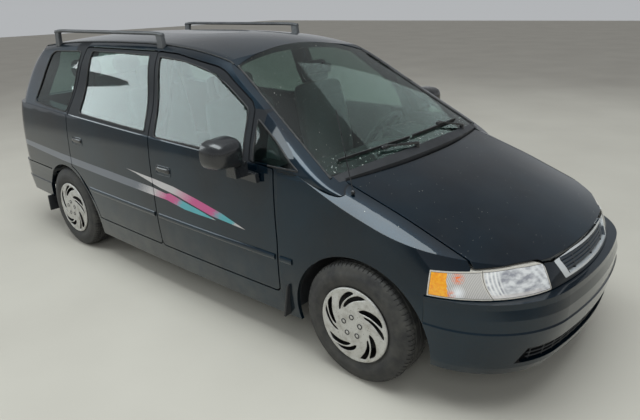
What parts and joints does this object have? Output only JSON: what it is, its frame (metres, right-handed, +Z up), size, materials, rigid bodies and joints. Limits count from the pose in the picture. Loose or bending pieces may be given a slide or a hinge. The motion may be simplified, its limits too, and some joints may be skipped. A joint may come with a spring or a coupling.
{
  "type": "minivan",
  "caption": "Minivan with side-hinged doors, a hood, a tailgate, a roof rack, steered front wheels and a hollow cabin with seats.",
  "frame": {"origin": "on the ground, under the middle of the body", "axes": "+X forward, +Y to the vehicle's left, +Z up"},
  "size_m": [4.7498, 2.24, 1.681],
  "materials": {
    "body_paint": "metallic gloss",
    "glass": "clear, slightly green",
    "black_trim": "satin black",
    "grille": "bright",
    "lamp": "clear fluted lens",
    "tail_lamp": "red lens",
    "tyre": "matt",
    "wheel_cover": "silver satin",
    "steel": "dull",
    "underbody": "satin",
    "iron": "as cast",
    "seat_cloth": "woven cloth",
    "dash": "grained",
    "rack": "satin grey"
  },
  "bodies": {
    "body": {"side_frame_left": "body_paint", "side_frame_right": "body_paint", "roof_panel": "body_paint", "fender_left": "body_paint", "fender_right": "body_paint", "cowl": "black_trim", "nose_panel": "body_paint", "grille": "grille", "headlamps": "lamp", "front_bumper": "body_paint", "rear_bumper": "body_paint", "tail_lamps": "tail_lamp", "fixed_glass": "glass", "windscreen": "glass", "floor_pan": "underbody", "wheel_liners": "black_trim", "front_frame": "underbody", "engine": "iron", "front_subframe": "underbody", "rear_axle": "steel", "exhaust": "steel", "fuel_tank": "black_trim", "front_seats": "seat_cloth", "middle_seats": "seat_cloth", "rear_bench": "seat_cloth", "dashboard": "dash", "roof_rails": "rack", "aerial": "black_trim"},
    "front_door_left": {"door_front_left": "body_paint", "glass_front_left": "glass", "mirror_left": "black_trim"},
    "front_door_right": {"door_front_right": "body_paint", "glass_front_right": "glass", "mirror_right": "black_trim"},
    "rear_door_left": {"door_rear_left": "body_paint", "glass_rear_left": "glass"},
    "rear_door_right": {"door_rear_right": "body_paint", "glass_rear_right": "glass"},
    "hood_lid": {"hood": "body_paint"},
    "tailgate_lid": {"tailgate": "body_paint", "tailgate_glass": "glass"},
    "knuckle_left": {"knuckle_left": "iron"},
    "knuckle_right": {"knuckle_right": "iron"},
    "hand_wheel": {"steering_wheel": "dash"},
    "wheel_front_left": {"tyre_front_left": "tyre", "wheel_front_left": "wheel_cover"},
    "wheel_front_right": {"tyre_front_right": "tyre", "wheel_front_right": "wheel_cover"},
    "wheel_rear_left": {"tyre_rear_left": "tyre", "wheel_rear_left": "wheel_cover"},
    "wheel_rear_right": {"tyre_rear_right": "tyre", "wheel_rear_right": "wheel_cover"}
  },
  "joints": [
    {"name": "front_door_left_hinge", "type": "hinge", "parent": "body", "child": "front_door_left", "pos_m": [0.942, 0.86, 0.65], "axis": [0, 0, -1], "range_deg": [0, 66]},
    {"name": "front_door_right_hinge", "type": "hinge", "parent": "body", "child": "front_door_right", "pos_m": [0.942, -0.86, 0.65], "axis": [0, 0, 1], "range_deg": [0, 66]},
    {"name": "rear_door_left_hinge", "type": "hinge", "parent": "body", "child": "rear_door_left", "pos_m": [-0.147, 0.879, 0.65], "axis": [0, 0, -1], "range_deg": [0, 66]},
    {"name": "rear_door_right_hinge", "type": "hinge", "parent": "body", "child": "rear_door_right", "pos_m": [-0.147, -0.879, 0.65], "axis": [0, 0, 1], "range_deg": [0, 66]},
    {"name": "hood_hinge", "type": "hinge", "parent": "body", "child": "hood_lid", "pos_m": [1.25, 0, 0.985], "axis": [0, -1, 0], "range_deg": [0, 50]},
    {"name": "tailgate_hinge", "type": "hinge", "parent": "body", "child": "tailgate_lid", "pos_m": [-1.8965, 0, 1.59], "axis": [0, 1, 0], "range_deg": [0, 78]},
    {"name": "steer_left", "type": "hinge", "parent": "body", "child": "knuckle_left", "pos_m": [1.48, 0.725, 0.205], "axis": [0, -0.2164, 0.9763], "range_deg": [-34, 34]},
    {"name": "steer_right", "type": "hinge", "parent": "body", "child": "knuckle_right", "pos_m": [1.48, -0.725, 0.205], "axis": [0, 0.2164, 0.9763], "range_deg": [-34, 34]},
    {"name": "hand_wheel_turn", "type": "hinge", "parent": "body", "child": "hand_wheel", "pos_m": [0.79, 0.39, 0.945], "axis": [-0.8829, 0, 0.4695], "range_deg": [-545, 545]},
    {"name": "roll_front_left", "type": "hinge", "parent": "knuckle_left", "child": "wheel_front_left", "pos_m": [1.48, 0.7625, 0.323], "axis": [0, 1, 0], "continuous": true},
    {"name": "roll_front_right", "type": "hinge", "parent": "knuckle_right", "child": "wheel_front_right", "pos_m": [1.48, -0.7625, 0.323], "axis": [0, 1, 0], "continuous": true},
    {"name": "roll_rear_left", "type": "hinge", "parent": "body", "child": "wheel_rear_left", "pos_m": [-1.35, 0.77, 0.323], "axis": [0, 1, 0], "continuous": true},
    {"name": "roll_rear_right", "type": "hinge", "parent": "body", "child": "wheel_rear_right", "pos_m": [-1.35, -0.77, 0.323], "axis": [0, 1, 0], "continuous": true}
  ],
  "couplings": [
    {"joint": "steer_right", "follows": "steer_left", "ratio": 1},
    {"joint": "hand_wheel_turn", "follows": "steer_left", "ratio": 16}
  ]
}
